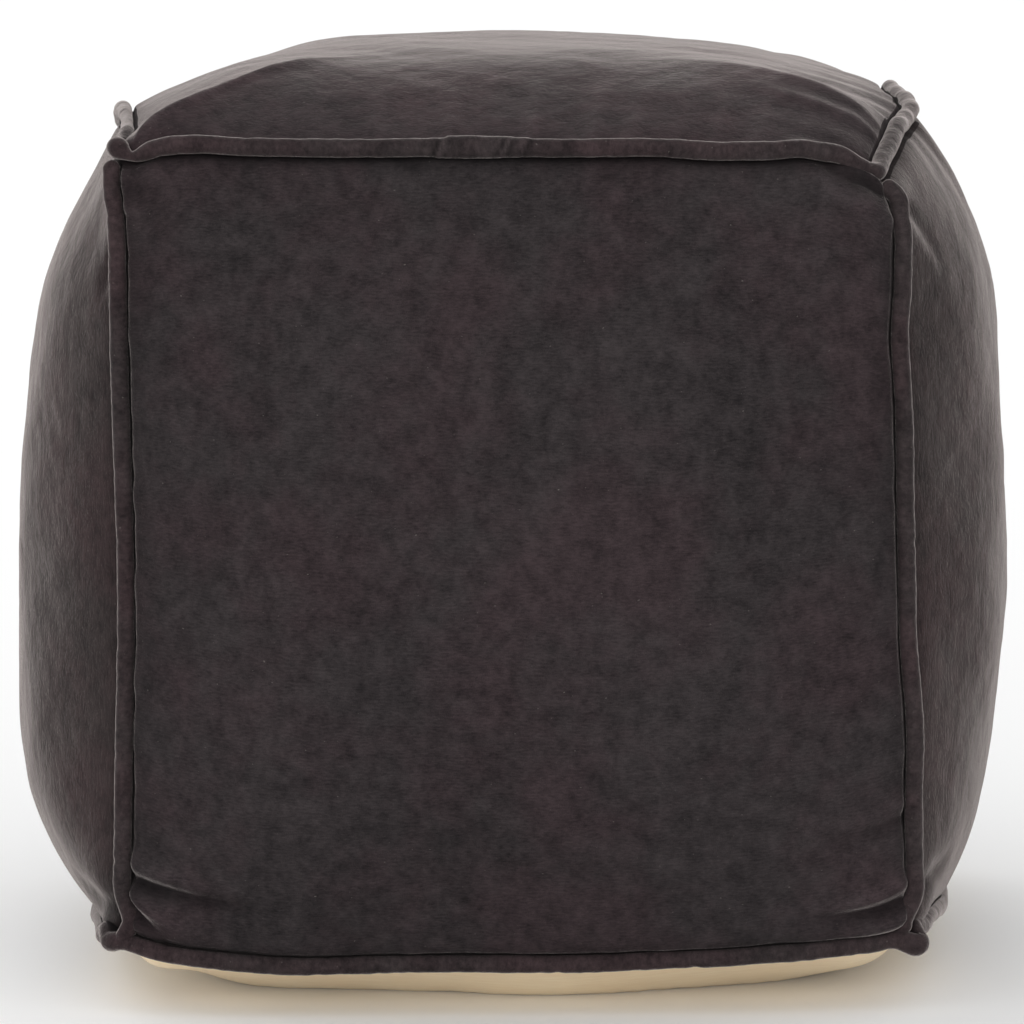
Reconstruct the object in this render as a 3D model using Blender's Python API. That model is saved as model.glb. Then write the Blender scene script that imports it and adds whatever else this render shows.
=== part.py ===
"""Cube pouf: a stuffed cube under five velvet panels with piped seams, on a canvas base.

Metres, +Z up. The front panel faces -Y, and the base lies flat on z = 0.

The cube is worked out from its eight seam corners. Twelve bowed seams join the corners, each
panel is stretched between its four seams and swells outwards, and the folds near the corners
are added to that. A point of the cube is named by a point of the plain cube from -1 to 1, so
a piece is a grid or a cube primitive whose vertices are moved to where the cloth lies.
"""

import math

import bmesh
import bpy
import numpy as np
from mathutils import Vector

# Cloth
VELVET_THICKNESS = 0.002
UNDER_VELVET = 0.0007        # clearance between a panel and the stuffed body
SEAM_CLEARANCE = 0.00035     # how far each panel's edge stays back from its seam
PANEL_CELLS = 13             # cells along each side of a panel

# Piping
PIPING_RADIUS = 0.0041
PIPING_CLEARANCE = 0.0004    # between a piping and the panels it stands on
RING_REACH = 0.965           # how near a ring's straight runs come to the corners
RING_POINTS = 19             # points along one side of a ring
UPRIGHT_POINTS = 18
UPRIGHT_TUCK = 0.0068        # how far an upright piping stops from the corner, under the ring
CORNER_STAND_OFF = 1.25      # how far a ring stands out round a corner, against its straight runs
ROUND_END = (0.5, 0.85)      # radius at the last and the last but one point of an upright
LAP_MIDDLE = -0.018          # where the top ring's two ends are lapped, along the front
LAP_HALF_LENGTH = 0.017
LAP_SWELL = 1.22             # the lap's thickness against the plain piping's

# Fine control of the cloth
BASE_TAPER = 8               # keeps the canvas tucked under the velvet only close to its edge
EDGE_FADE = 14               # folds end this sharply at the seams
STEP = 1e-4                  # small step on the plain cube, and what counts as on a seam

# Seam corners: which side, front or back, top or base, then x, y and z.
CORNERS = {
    (-1, -1, 1): (-0.164, -0.166, 0.376),
    (1, -1, 1): (0.168, -0.166, 0.3685),
    (-1, 1, 1): (-0.163, 0.165, 0.372),
    (1, 1, 1): (0.168, 0.165, 0.373),
    (-1, -1, -1): (-0.170, -0.174, 0.040),
    (1, -1, -1): (0.176, -0.173, 0.039),
    (-1, 1, -1): (-0.171, 0.172, 0.038),
    (1, 1, -1): (0.177, 0.173, 0.040),
}

# Seams: the direction of the seam's middle, then how far it bows along x, y and z, and how
# full the bow is (a high power keeps the seam straight between its corners).
SEAM_BOWS = {
    (0, -1, 1): (0.0, -0.0135, 0.0055, 8),
    (1, 0, 1): (0.0125, 0.0, 0.0085, 4),
    (0, 1, 1): (0.0, 0.0135, 0.0070, 6),
    (-1, 0, 1): (-0.0110, 0.0, 0.0050, 4),
    (0, -1, -1): (0.0, -0.0145, -0.0125, 3.5),
    (1, 0, -1): (0.0190, 0.0, -0.0120, 4),
    (0, 1, -1): (0.0, 0.0155, -0.0120, 4),
    (-1, 0, -1): (-0.0175, 0.0, -0.0120, 4),
    (-1, -1, 0): (0.0040, -0.0010, 0.0, 6),
    (1, -1, 0): (0.0030, -0.0030, 0.0, 8),
    (-1, 1, 0): (-0.0020, 0.0020, 0.0, 6),
    (1, 1, 0): (0.0020, 0.0020, 0.0, 6),
}

# Panels: name, right and up as seen from outside, swelling, how full its profile is, and how
# far the fullest place has sunk (a part of the half height).
PANELS = (
    ("top", (1, 0, 0), (0, 1, 0), 0.0335, 3.8, 0.00),
    ("front", (1, 0, 0), (0, 0, 1), 0.0440, 3.4, 0.06),
    ("right", (0, 1, 0), (0, 0, 1), 0.0365, 3.7, -0.18),
    ("back", (-1, 0, 0), (0, 0, 1), 0.0440, 3.4, 0.08),
    ("left", (0, -1, 0), (0, 0, 1), 0.0445, 3.9, 0.10),
    ("base", (1, 0, 0), (0, -1, 0), 0.0460, 3.6, 0.00),
)

# Folds: panel, where the fold starts and ends (across, up; -1 to 1), its half width on the
# same scale and its height in metres, which is negative for a trough.
FOLDS = (
    ("top", (-0.95, -0.95), (-0.35, -0.40), 0.13, 0.0085),
    ("top", (0.97, -0.97), (0.35, -0.45), 0.14, 0.0105),
    ("top", (-0.96, 0.96), (-0.50, 0.45), 0.13, 0.0060),
    ("top", (0.96, 0.96), (0.50, 0.50), 0.13, 0.0060),
    ("front", (-1.00, -0.84), (-0.62, -0.80), 0.05, -0.0050),
    ("front", (1.00, -0.86), (0.74, -0.88), 0.05, -0.0045),
    ("front", (1.00, -0.72), (0.66, -0.66), 0.07, -0.0035),
    ("right", (-1.00, -0.86), (-0.66, -0.74), 0.06, -0.0050),
    ("right", (1.00, -0.90), (0.72, -0.78), 0.06, -0.0045),
    ("back", (-1.00, -0.86), (-0.68, -0.76), 0.06, -0.0045),
    ("back", (1.00, -0.88), (0.68, -0.80), 0.06, -0.0050),
    ("left", (1.00, -0.84), (0.62, -0.70), 0.06, -0.0055),
    ("left", (-1.00, -0.88), (-0.70, -0.78), 0.06, -0.0045),
)

# Finishes: name, colour and roughness.
VELVET_FINISH = ("charcoal velvet", (0.042, 0.034, 0.036), 0.92)
PIPING_FINISH = ("charcoal velvet piping", (0.038, 0.031, 0.033), 0.92)
CANVAS_FINISH = ("natural canvas", (0.52, 0.39, 0.26), 0.88)


# ---- the shape of the stuffed cube ----

def seam_points(direction, along):
    """Points of one seam. It runs straight between its corners and bows outwards between."""
    direction = tuple(int(part) for part in direction)
    axis = direction.index(0)
    start, end = (
        np.array(CORNERS[direction[:axis] + (side,) + direction[axis + 1:]]) for side in (-1, 1)
    )
    along = np.asarray(along, dtype=float)[..., None]
    *bow, fullness = SEAM_BOWS[direction]
    return start + (end - start) * (along + 1) / 2 + bow * (1 - np.abs(along) ** fullness)


def fold_height(name, across, up):
    """Height of a panel's folds: soft ridges and troughs that fade along their length."""
    total = np.zeros_like(across)
    for panel, start, end, width, height in FOLDS:
        if panel != name:
            continue
        run = np.subtract(end, start)
        place = ((across - start[0]) * run[0] + (up - start[1]) * run[1]) / (run @ run)
        nearest = np.clip(place, 0, 1)
        distance = np.hypot(
            across - start[0] - nearest * run[0], up - start[1] - nearest * run[1]
        )
        total += height * np.exp(-((distance / width) ** 2)) * (1 - nearest ** 2)
    return total * (1 - np.abs(across) ** EDGE_FADE) * (1 - np.abs(up) ** EDGE_FADE)


def panel_points(panel, points):
    """Where the cloth of one panel lies, for points on that face of the plain cube."""
    name, right, rise, swelling, fullness, sunk = panel
    right, rise = np.array(right), np.array(rise)
    out = np.cross(right, rise)
    across, up = points @ right, points @ rise
    a, b = (across[..., None] + 1) / 2, (up[..., None] + 1) / 2

    low, high = (seam_points(out + side * rise, across * right.sum()) for side in (-1, 1))
    start, end = (seam_points(out + side * right, up * rise.sum()) for side in (-1, 1))
    flat = (1 - b) * low + b * high + (1 - a) * start + a * end
    for side, share in ((-1, 1 - a), (1, a)):
        for level, part in ((-1, 1 - b), (1, b)):
            corner = CORNERS[tuple(int(n) for n in out + side * right + level * rise)]
            flat = flat - share * part * np.array(corner)

    lowered = up + sunk * (1 - up ** 2)
    profile = (1 - np.abs(across) ** fullness) * (1 - np.abs(lowered) ** fullness)
    height = swelling * profile + fold_height(name, across, up)
    return flat + height[..., None] * out


def panel_normals(panel, points):
    """Which way a panel faces, from two small steps along it that stay on the panel."""
    right, rise = np.array(panel[1]), np.array(panel[2])
    here = panel_points(panel, points)
    steps = []
    for way in (right, rise):
        side = np.where(points @ way > 0, -1.0, 1.0)[..., None]
        steps.append((panel_points(panel, points + STEP * side * way) - here) * side)
    normals = np.cross(*steps)
    return normals / np.linalg.norm(normals, axis=-1, keepdims=True)


def outward(points):
    """Vector that lifts each point one unit off every panel that meets there.

    Inside a panel it is the panel's normal, and along a seam and at a corner it is the mitre.
    """
    lift = np.zeros_like(points)
    facing = []
    for panel in PANELS:
        out = np.cross(panel[1], panel[2])
        on_panel = points @ out > 1 - STEP / 2
        normals = np.full(points.shape, np.nan)
        normals[on_panel] = panel_normals(panel, points[on_panel])
        facing.append(normals)
    facing = np.array(facing)
    for index in range(len(points)):
        normals = facing[:, index]
        normals = normals[~np.isnan(normals[:, 0])]
        lift[index] = np.linalg.lstsq(normals, np.ones(len(normals)), rcond=None)[0]
    return lift


def cloth_points(points):
    """Outer face of the cloth for points anywhere on the plain cube."""
    placed = np.zeros_like(points)
    for panel in PANELS:
        out = np.cross(panel[1], panel[2])
        on_panel = points @ out > 1 - STEP / 2
        placed[on_panel] = panel_points(panel, points[on_panel])
    return placed


# ---- making objects ----

def finish(obj, look, collection):
    """Give an object its material, shade it smooth and put it in the collection."""
    name, colour, roughness = look
    material = bpy.data.materials.get(name) or bpy.data.materials.new(name)
    material.use_nodes = True
    shader = material.node_tree.nodes["Principled BSDF"]
    shader.inputs["Base Color"].default_value = (*colour, 1.0)
    shader.inputs["Roughness"].default_value = roughness
    shader.inputs["Metallic"].default_value = 0.0
    obj.data.materials.append(material)
    collection.objects.link(obj)
    return obj


def smooth_mesh(bm, name):
    """Turn a bmesh into an object with smooth faces."""
    mesh = bpy.data.meshes.new(name)
    bm.to_mesh(mesh)
    bm.free()
    mesh.shade_smooth()
    return bpy.data.objects.new(name, mesh)


def vertex_points(bm):
    """Vertices of a plain cube or grid, drawn closer together towards the seams."""
    points = np.array([vert.co[:] for vert in bm.verts])
    return np.sin(np.clip(points, -1, 1) * math.pi / 2)


def make_body(collection):
    """The filled cube. It lies under the velvet, and its canvas base is flat on the floor."""
    bm = bmesh.new()
    for panel in PANELS:
        right, rise = Vector(panel[1]), Vector(panel[2])
        grid = bmesh.ops.create_grid(bm, x_segments=PANEL_CELLS, y_segments=PANEL_CELLS, size=1)
        for vert in grid["verts"]:
            vert.co = vert.co.x * right + vert.co.y * rise + right.cross(rise)
    bmesh.ops.remove_doubles(bm, verts=bm.verts[:], dist=STEP)
    points = vertex_points(bm)
    inset = np.full(len(points), VELVET_THICKNESS + UNDER_VELVET)
    on_base = points[:, 2] < STEP - 1
    edge = np.abs(points[:, :2]).max(axis=1)
    inset[on_base] *= edge[on_base] ** BASE_TAPER
    placed = cloth_points(points) - inset[:, None] * outward(points)
    placed[:, 2] = np.maximum(placed[:, 2], 0)
    for vert, place in zip(bm.verts, placed):
        vert.co = place
    return finish(smooth_mesh(bm, "stuffed_body"), CANVAS_FINISH, collection)


def make_panel(panel, collection):
    """One velvet panel: its outer face, and an inner face one thickness further in."""
    right, rise = np.array(panel[1]), np.array(panel[2])
    bm = bmesh.new()
    bmesh.ops.create_grid(bm, x_segments=PANEL_CELLS, y_segments=PANEL_CELLS, size=1)
    under = bmesh.ops.extrude_face_region(bm, geom=bm.faces[:])
    inner = {item for item in under["geom"] if isinstance(item, bmesh.types.BMVert)}
    depth = np.array([VELVET_THICKNESS if vert in inner else 0.0 for vert in bm.verts])

    flat = vertex_points(bm)[:, :2]
    points = flat @ np.array([right, rise]) + np.cross(right, rise)
    placed = panel_points(panel, points) - depth[:, None] * outward(points)
    back_from_seam = np.where(np.abs(flat) > 1 - STEP, -np.sign(flat) * SEAM_CLEARANCE, 0)
    placed += back_from_seam @ np.array([right, rise])
    for vert, place in zip(bm.verts, placed):
        vert.co = place
    bmesh.ops.recalc_face_normals(bm, faces=bm.faces[:])
    return finish(smooth_mesh(bm, f"{panel[0]}_panel"), VELVET_FINISH, collection)


def make_piping(name, centres, radii, closed, collection):
    """A piping: a round strip along its own line, with a radius for each of its points."""
    curve = bpy.data.curves.new(name, "CURVE")
    curve.dimensions = "3D"
    curve.bevel_depth = PIPING_RADIUS
    curve.bevel_resolution = 2
    curve.use_fill_caps = True
    spline = curve.splines.new("POLY")
    spline.points.add(len(centres) - 1)
    for point, centre, radius in zip(spline.points, centres, radii):
        point.co = (*centre, 1.0)
        point.radius = radius
    spline.use_cyclic_u = closed
    return finish(bpy.data.objects.new(name, curve), PIPING_FINISH, collection)


def beside_seam(direction, along, radii):
    """Centres of a piping that stands on one seam, clear of the two panels that meet there."""
    direction = np.array(direction)
    way = (direction == 0).astype(float)
    lift = outward(direction + along[:, None] * way)
    lift /= np.linalg.norm(lift, axis=1, keepdims=True)
    return seam_points(direction, along) + lift * (PIPING_RADIUS * radii + PIPING_CLEARANCE)[:, None]


def make_ring(name, level, lapped, collection):
    """The closed piping round the top or the base, its ends lapped at the front if it shows."""
    centres, radii = [], []
    even = np.linspace(-1, 1, RING_POINTS)
    run = RING_REACH * (even + np.sin(even * math.pi / 2)) / 2
    for side_x, side_y, turn in ((0, -1, 1), (1, 0, 1), (0, 1, -1), (-1, 0, -1)):
        thickness = np.ones(RING_POINTS)
        along = run * turn
        if lapped and side_y == -1:
            in_lap = np.abs(seam_points((0, -1, level), along)[:, 0] - LAP_MIDDLE)
            thickness[in_lap < LAP_HALF_LENGTH] = LAP_SWELL
        centres.extend(beside_seam((side_x, side_y, level), along, thickness))
        radii.extend(thickness)

        corner = np.array([side_x or turn, side_y or turn, level], dtype=float)
        lift = outward(corner[None])[0]
        lift /= np.linalg.norm(lift)
        stand_off = (PIPING_RADIUS + PIPING_CLEARANCE) * CORNER_STAND_OFF
        centres.append(cloth_points(corner[None])[0] + lift * stand_off)
        radii.append(1.0)
    return make_piping(name, centres, radii, True, collection)


def make_upright(name, side_x, side_y, collection):
    """The piping of one upright seam, rounded where it is tucked under the rings."""
    length = np.linalg.norm(np.subtract(CORNERS[side_x, side_y, 1], CORNERS[side_x, side_y, -1]))
    reach = 1 - 2 * UPRIGHT_TUCK / length
    along = np.linspace(-reach, reach, UPRIGHT_POINTS)
    radii = np.ones(UPRIGHT_POINTS)
    radii[:2] = ROUND_END
    radii[-2:] = ROUND_END[::-1]
    centres = beside_seam((side_x, side_y, 0), along, np.ones(UPRIGHT_POINTS))
    return make_piping(name, centres, radii, False, collection)


def main():
    for obj in list(bpy.data.objects):
        bpy.data.objects.remove(obj, do_unlink=True)
    collection = bpy.data.collections.new("cube_pouf")
    bpy.context.scene.collection.children.link(collection)

    make_body(collection)
    for panel in PANELS:
        if panel[0] != "base":
            make_panel(panel, collection)
    make_ring("top_piping", 1, True, collection)
    make_ring("base_piping", -1, False, collection)
    for side_y, depth in ((-1, "front"), (1, "back")):
        for side_x, side in ((-1, "left"), (1, "right")):
            make_upright(f"upright_piping_{depth}_{side}", side_x, side_y, collection)


main()
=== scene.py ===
# Cube pouf: five velvet panels stretched over a stuffed cube, piped seams, canvas base.
# A point of the cube is named by a point of the plain cube from -1 to 1. Each panel is a grid
# on its face of the plain cube, moved to where the cloth lies. The front panel faces -Y.

import math

import bpy
import numpy as np
from mathutils import Matrix, Vector


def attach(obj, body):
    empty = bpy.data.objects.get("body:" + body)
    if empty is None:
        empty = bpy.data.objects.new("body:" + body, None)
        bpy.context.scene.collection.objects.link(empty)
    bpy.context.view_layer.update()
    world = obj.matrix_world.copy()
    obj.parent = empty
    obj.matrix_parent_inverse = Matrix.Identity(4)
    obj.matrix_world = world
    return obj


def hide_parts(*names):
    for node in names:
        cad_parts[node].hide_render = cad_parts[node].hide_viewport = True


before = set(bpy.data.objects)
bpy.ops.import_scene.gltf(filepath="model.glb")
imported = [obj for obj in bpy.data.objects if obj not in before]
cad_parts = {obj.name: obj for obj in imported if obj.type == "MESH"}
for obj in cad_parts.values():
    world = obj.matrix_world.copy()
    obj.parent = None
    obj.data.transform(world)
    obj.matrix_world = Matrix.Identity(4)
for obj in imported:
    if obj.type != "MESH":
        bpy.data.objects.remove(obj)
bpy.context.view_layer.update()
scene = bpy.context.scene
print("frame: nodes", len(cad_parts))

pouf = {
    "cells": 176,  # cells along each side of a panel
    "crowding": 0.60,  # how far the cells are drawn towards the seams, 0 to 1
    "mitrePower": 14,  # how close to a seam the outward direction turns
    "velvet": 0.002,  # thickness of a velvet panel
    "underVelvet": 0.0007,  # room between a velvet panel and the stuffed cube at the seams
    "deeper": 0.0012,  # how much more away from them
    "seamGap": 0.00035,  # how far a panel's edge stays back from its seam
    "kinkFade": 8,  # how fast a seam's kinks die away across the panel
    "shoulderReach": 0.030, # how far in the puffed edge beside a piping goes
    "shoulderEnd": 0.004,  # metres from its ends over which it dies away
    "narrow": 0.048,  # folds narrower than this are too fine for the stuffing's simulation
    "seamFlank": 0.0042,  # how far in from its seams a panel has little sheen: painted shade
    "foldShade": (0.0034, 0.52, -0.28),  # fold depth that counts fully, most shade, most light
    "side": 0.34,  # metres across a panel, for distances from its seams
    "bulgeFade": (6, 14),  # power by which the bulges die away at the seams: a panel, the base
    "lumps": 0.0004,  # unevenness of the stuffing
    "lumpWaves": ((0.09, 1, 0), (0.04, 0.5, 9), (0.016, 0.22, 20)),  # wavelength, share, seed
    "lumpFade": 0.02,  # metres from a seam over which the lumps die away
    "tautBase": 0.4,  # share of its fine shape that the base keeps
    "insetFade": 0.006,  # metres from a seam over which the stuffed cube draws in fully
    # left or right, front or back, base or top: x, y, z
    "corners": {
        (-1, -1, 1): (-0.164, -0.1665, 0.376), (1, -1, 1): (0.1625, -0.168, 0.3645),
        (-1, 1, 1): (-0.163, 0.165, 0.372), (1, 1, 1): (0.168, 0.165, 0.373),
        (-1, -1, -1): (-0.167, -0.1735, 0.0362), (1, -1, -1): (0.1745, -0.1735, 0.0368),
        (-1, 1, -1): (-0.171, 0.172, 0.038), (1, 1, -1): (0.177, 0.173, 0.04),
    },
    # middle of the seam: bow along x, y, z, and how full the bow is
    "seams": {
        (0, -1, 1): (0, -0.0135, 0.0052, 8), (1, 0, 1): (0.0115, 0, 0.0085, 3),
        (0, 1, 1): (0, 0.0135, 0.007, 6), (-1, 0, 1): (-0.008, 0, 0, 4),
        (0, -1, -1): (0, -0.0145, -0.012, 6), (1, 0, -1): (0.0175, 0, -0.012, 2.6),
        (0, 1, -1): (0, 0.0155, -0.012, 4), (-1, 0, -1): (-0.0195, 0, -0.012, 3),
        (-1, -1, 0): (0.0025, -0.001, 0, 10), (1, -1, 0): (0.004, -0.003, 0, 12),
        (-1, 1, 0): (-0.002, 0.002, 0, 6), (1, 1, 0): (0.002, 0.002, 0, 6),
    },
    # kinks of each seam: where along it, half width, then x, y, z
    "kinks": {
        (0, -1, 1): (
            (-0.95, 0.04, 0, 0, -0.0035), (-0.8, 0.1, 0, 0, 0.0012), (0, 0.3, 0, 0, 0.0024),
            (0.45, 0.25, 0, 0, 0.0039), (0.72, 0.1, 0, 0, 0.0027), (0.83, 0.07, 0, 0, 0.005),
            (0.92, 0.05, 0, 0, 0.0051),
        ),
        (1, 0, 1): (
            (-0.88, 0.08, -0.0006, 0, 0.0018), (-0.75, 0.09, 0.0002, 0, 0.0041),
            (-0.62, 0.09, 0.0011, 0, 0.0071), (-0.46, 0.09, 0.0024, 0, 0.0065),
            (-0.3, 0.09, 0.0048, 0, 0.0075), (-0.14, 0.1, 0.003, 0, 0.0087),
            (0.02, 0.1, -0.0007, 0, 0.0086), (0.2, 0.12, -0.0028, 0, 0.0093),
            (0.42, 0.16, -0.0034, 0, 0.0053), (0.7, 0.16, 0.001, 0, 0.003),
        ),
        (-1, 0, 1): (
            (-0.8, 0.12, 0.0078, 0, 0.0063), (-0.62, 0.12, 0.0066, 0, 0.0079),
            (-0.45, 0.12, 0.0044, 0, 0.0098), (-0.28, 0.12, 0.0014, 0, 0.01),
            (-0.1, 0.14, -0.0004, 0, 0.0073), (0.12, 0.2, -0.0034, 0, 0.0033),
            (0.55, 0.25, 0, 0, -0.002),
        ),
        (0, 1, 1): ((0.5, 0.3, 0, 0, -0.003),),
        (0, -1, -1): (
            (-0.75, 0.16, 0, 0, 0.0018), (-0.3, 0.3, 0, 0, 0.0024), (0.1, 0.3, 0, 0, 0.0017),
            (0.45, 0.2, 0, 0, 0.0031), (0.68, 0.14, 0, 0, 0.0035), (0.84, 0.1, 0, 0, 0.0025),
        ),
        (-1, 0, -1): (
            (-0.92, 0.07, -0.0039, 0, -0.001), (-0.6, 0.2, 0.0024, 0, 0.0035),
        ),
        (1, 0, -1): (
            (-0.92, 0.07, 0.0018, 0, -0.0021), (-0.8, 0.12, 0.0006, 0, 0.0027),
            (-0.6, 0.2, -0.0003, 0, 0.0043),
        ),
        (0, 1, -1): ((-0.4, 0.35, 0, 0, 0.002),),
        (-1, -1, 0): (
            (0.93, 0.06, -0.0014, 0, 0), (-0.1, 0.45, 0.0025, 0, 0), (-0.96, 0.05, 0.0026, 0, 0),
        ),
        (1, -1, 0): (
            (0.97, 0.05, 0.009, 0, 0), (0.88, 0.08, 0.0053, 0, 0), (0.75, 0.12, 0.0044, 0, 0),
            (0.4, 0.3, 0.0033, 0, 0), (-0.02, 0.22, 0.0013, 0, 0), (-0.45, 0.18, 0.0024, 0, 0),
            (-0.93, 0.06, 0.002, 0, 0),
        ),
        (-1, 1, 0): ((0.3, 0.3, 0.002, 0, 0),),
        (1, 1, 0): ((-0.3, 0.4, -0.002, 0.0015, 0),),
    },
    # panel: right, up, swelling, how full across and up, how far the fullest place has sunk
    "panels": {
        "top": ((1, 0, 0), (0, 1, 0), 0.0345, 3.8, 3.8, 0),
        "front": ((1, 0, 0), (0, 0, 1), 0.04, 2.7, 2.7, 0.06),
        "right": ((0, 1, 0), (0, 0, 1), 0.037, 3.7, 3.7, -0.18),
        "back": ((-1, 0, 0), (0, 0, 1), 0.042, 2.8, 2.8, 0.08),
        "left": ((0, -1, 0), (0, 0, 1), 0.0432, 3.7, 3.7, 0.1),
        "base": ((1, 0, 0), (0, -1, 0), 0.0273, 4, 2.2, 0),
    },
    # broad places where a panel stands out or sinks: across, up, half widths, height
    "bulges": {
        "top": (
            (0.55, 0.3, 0.35, 0.8, -0.0076), (-0.8, 0.3, 0.22, 0.8, 0.0028),
            (-0.5, 0.3, 0.2, 0.8, -0.0012),
        ),
        "left": (
            (0, 0.72, 0.9, 0.28, 0.0044), (0, -0.76, 1, 0.2, 0.0034),
        ),
        "right": (
            (0, 0.75, 0.9, 0.25, 0.0032), (0, -0.52, 1, 0.24, -0.0048), (0, -0.82, 1, 0.16, 0.003),
        ),
        "base": (
            (-0.945, 0.817, 0.122, 0.33, 0.0136), (0.933, 0.683, 0.152, 0.42, 0.014),
            (0.08, 0.607, 0.325, 0.485, 0.008), (0.93, -0.75, 0.13, 0.33, 0.011),
            (-0.93, -0.75, 0.13, 0.33, 0.011),
        ),
    },
    # folds of each panel: from and to (across, up), sideways bend, half width, sharpness (2 is
    # round), height
    "folds": {
        "top": (
            (-0.94, -0.99, -0.3, -0.4, 0.03, 0.12, 1.35, 0.009),
            (-0.95, -0.99, -0.34, -0.44, 0.03, 0.018, 1.2, 0.0024),
            (0.99, -0.74, 0.35, -0.42, -0.02, 0.12, 1.6, 0.0066),
            (0.99, -0.77, 0.45, -0.47, -0.02, 0.02, 1.5, 0.0012),
            (0.99, -0.82, 0.62, -0.66, 0, 0.024, 1.5, 0.0015),
            (0.97, -0.96, 0.74, -0.88, 0, 0.03, 2, -0.0016),
            (-0.96, 0.96, -0.5, 0.45, 0, 0.13, 1.6, 0.007),
            (0.96, 0.96, 0.5, 0.5, 0, 0.13, 1.6, 0.007),
            (-0.47, -1, -0.5, -0.66, 0, 0.03, 2, 0.0014),
            (-0.3, -1, -0.31, -0.74, 0, 0.018, 2, 0.0011),
            (-0.11, -1, -0.12, -0.7, 0, 0.02, 2, 0.0013),
            (0.1, -1, 0.11, -0.66, 0, 0.02, 2, 0.0017),
            (0.26, -1, 0.28, -0.66, 0, 0.024, 2, 0.0016),
            (0.36, -1, 0.37, -0.7, 0, 0.018, 2, 0.0013),
            (0.57, -1, 0.6, -0.72, 0, 0.018, 2, 0.0011),
            (0.69, -1, 0.71, -0.72, 0, 0.024, 2, 0.0013),
        ),
        "front": (
            (-1, -0.846, -0.64, -0.866, 0, 0.019, 2, -0.0046),
            (-1, -0.806, -0.78, -0.816, 0, 0.024, 2, 0.0033),
            (-1, -0.884, -0.84, -0.99, -0.02, 0.016, 2, -0.0044),
            (-1, -0.876, -0.78, -0.935, -0.01, 0.018, 2, 0.0032),
            (-1, 0.958, -0.84, 0.98, 0, 0.02, 2, 0.0024),
            (-0.975, 0.965, -0.86, 0.86, 0.01, 0.02, 2, -0.0016),
            (-1, 0.868, -0.88, 0.876, 0, 0.018, 2, 0.0012),
            (-1, 0.904, -0.9, 0.91, 0, 0.015, 2, -0.0012),
            (1, 0.945, 0.79, 1.01, 0.02, 0.018, 2, -0.0046),
            (1, 0.88, 0.8, 0.96, 0.02, 0.024, 2, 0.0034),
            (1, -0.9, 0.74, -0.914, 0.01, 0.021, 2, -0.0048),
            (1, -0.856, 0.74, -0.882, 0.01, 0.018, 2, 0.003),
            (1, -0.948, 0.84, -0.958, 0, 0.018, 2, 0.003),
            (1, -0.69, 0.72, -0.72, 0, 0.022, 2, -0.0022),
            (1, -0.65, 0.8, -0.685, 0, 0.022, 2, 0.0012),
            (-0.48, -0.9, -0.28, -0.99, 0, 0.024, 2, -0.0012),
        ),
        "right": (
            (-1, -0.9, -0.7, -0.84, 0, 0.036, 2, -0.0036),
            (-1, 0.9, -0.72, 0.56, 0.03, 0.044, 2, 0.0014),
            (-1, 0.95, -0.78, 0.66, 0.03, 0.028, 2, -0.0022),
            (1, -0.9, 0.72, -0.78, 0, 0.05, 2, -0.0045),
        ),
        "back": (
            (-1, -0.86, -0.68, -0.8, 0, 0.022, 2, -0.005),
            (-1, -0.82, -0.76, -0.77, 0, 0.022, 2, 0.0022),
            (1, -0.88, 0.68, -0.84, 0, 0.022, 2, -0.005),
            (0.98, 0.94, 0.8, 0.78, 0, 0.022, 2, -0.003),
            (-0.98, 0.95, -0.82, 0.82, 0, 0.022, 2, -0.003),
        ),
        "left": (
            (1, -0.94, 0.66, -0.88, 0, 0.038, 2, -0.004),
            (1, 0.84, 0.9, 0.62, 0, 0.03, 2, -0.0035),
            (-1, -0.88, -0.7, -0.78, 0, 0.045, 2, -0.0045),
            (-1, 0.92, -0.74, 0.74, 0, 0.036, 2, -0.0035),
        ),
    },
    # each panel's edges (across or up, -1 or 1): height and steepness of the puffed cloth beside
    # the piping; share of the colour lost there to painted shade, how far in, sharpness; how many
    # puckers, how far they run in, height
    "edges": {
        "top": {
            (0, -1): (0.0008, 0.003, 0.1, 0.004, 1.5, 9, 0.026, 0.0009),
            (1, 0): (0.0026, 0.0032, 0.25, 0.007, 1.5, 9, 0.024, 0.0008),
            (0, 1): (0.0026, 0.0032, 0.2, 0.006, 1.5, 9, 0.024, 0.0008),
            (-1, 0): (0.0026, 0.0032, 0.15, 0.005, 1.5, 9, 0.024, 0.0008),
        },
        "front": {
            (-1, 0): (0.0038, 0.0034, 0.45, 0.0085, 1.3, 30, 0.013, 0.0018),
            (1, 0): (0.0042, 0.0034, 0.42, 0.0065, 1.4, 24, 0.01, 0.001),
            (0, 1): (0.0028, 0.0032, 0.62, 0.0062, 3, 18, 0.014, 0.0008),
            (0, -1): (0.0036, 0.0032, 0.45, 0.0045, 1.7, 20, 0.014, 0.001),
        },
        "left": {
            (1, 0): (0.0012, 0.003, 0.3, 0.01, 1.3, 16, 0.014, 0.0006),
            (-1, 0): (0.0026, 0.0032, 0.3, 0.008, 1.5, 16, 0.014, 0.0006),
            (0, 1): (0.0026, 0.0032, 0.25, 0.007, 1.5, 13, 0.018, 0.0007),
            (0, -1): (0.0026, 0.0032, 0.45, 0.011, 1.5, 15, 0.018, 0.0008),
        },
        "right": {
            (-1, 0): (0.0012, 0.003, 0.28, 0.008, 1.3, 16, 0.014, 0.0006),
            (1, 0): (0.0026, 0.0032, 0.3, 0.008, 1.5, 16, 0.014, 0.0006),
            (0, 1): (0.0026, 0.0032, 0.35, 0.008, 1.5, 13, 0.018, 0.0007),
            (0, -1): (0.0026, 0.0032, 0.3, 0.008, 1.5, 15, 0.018, 0.0008),
        },
        "back": {
            (-1, 0): (0.0026, 0.0032, 0.35, 0.008, 1.3, 17, 0.014, 0.0007),
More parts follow.
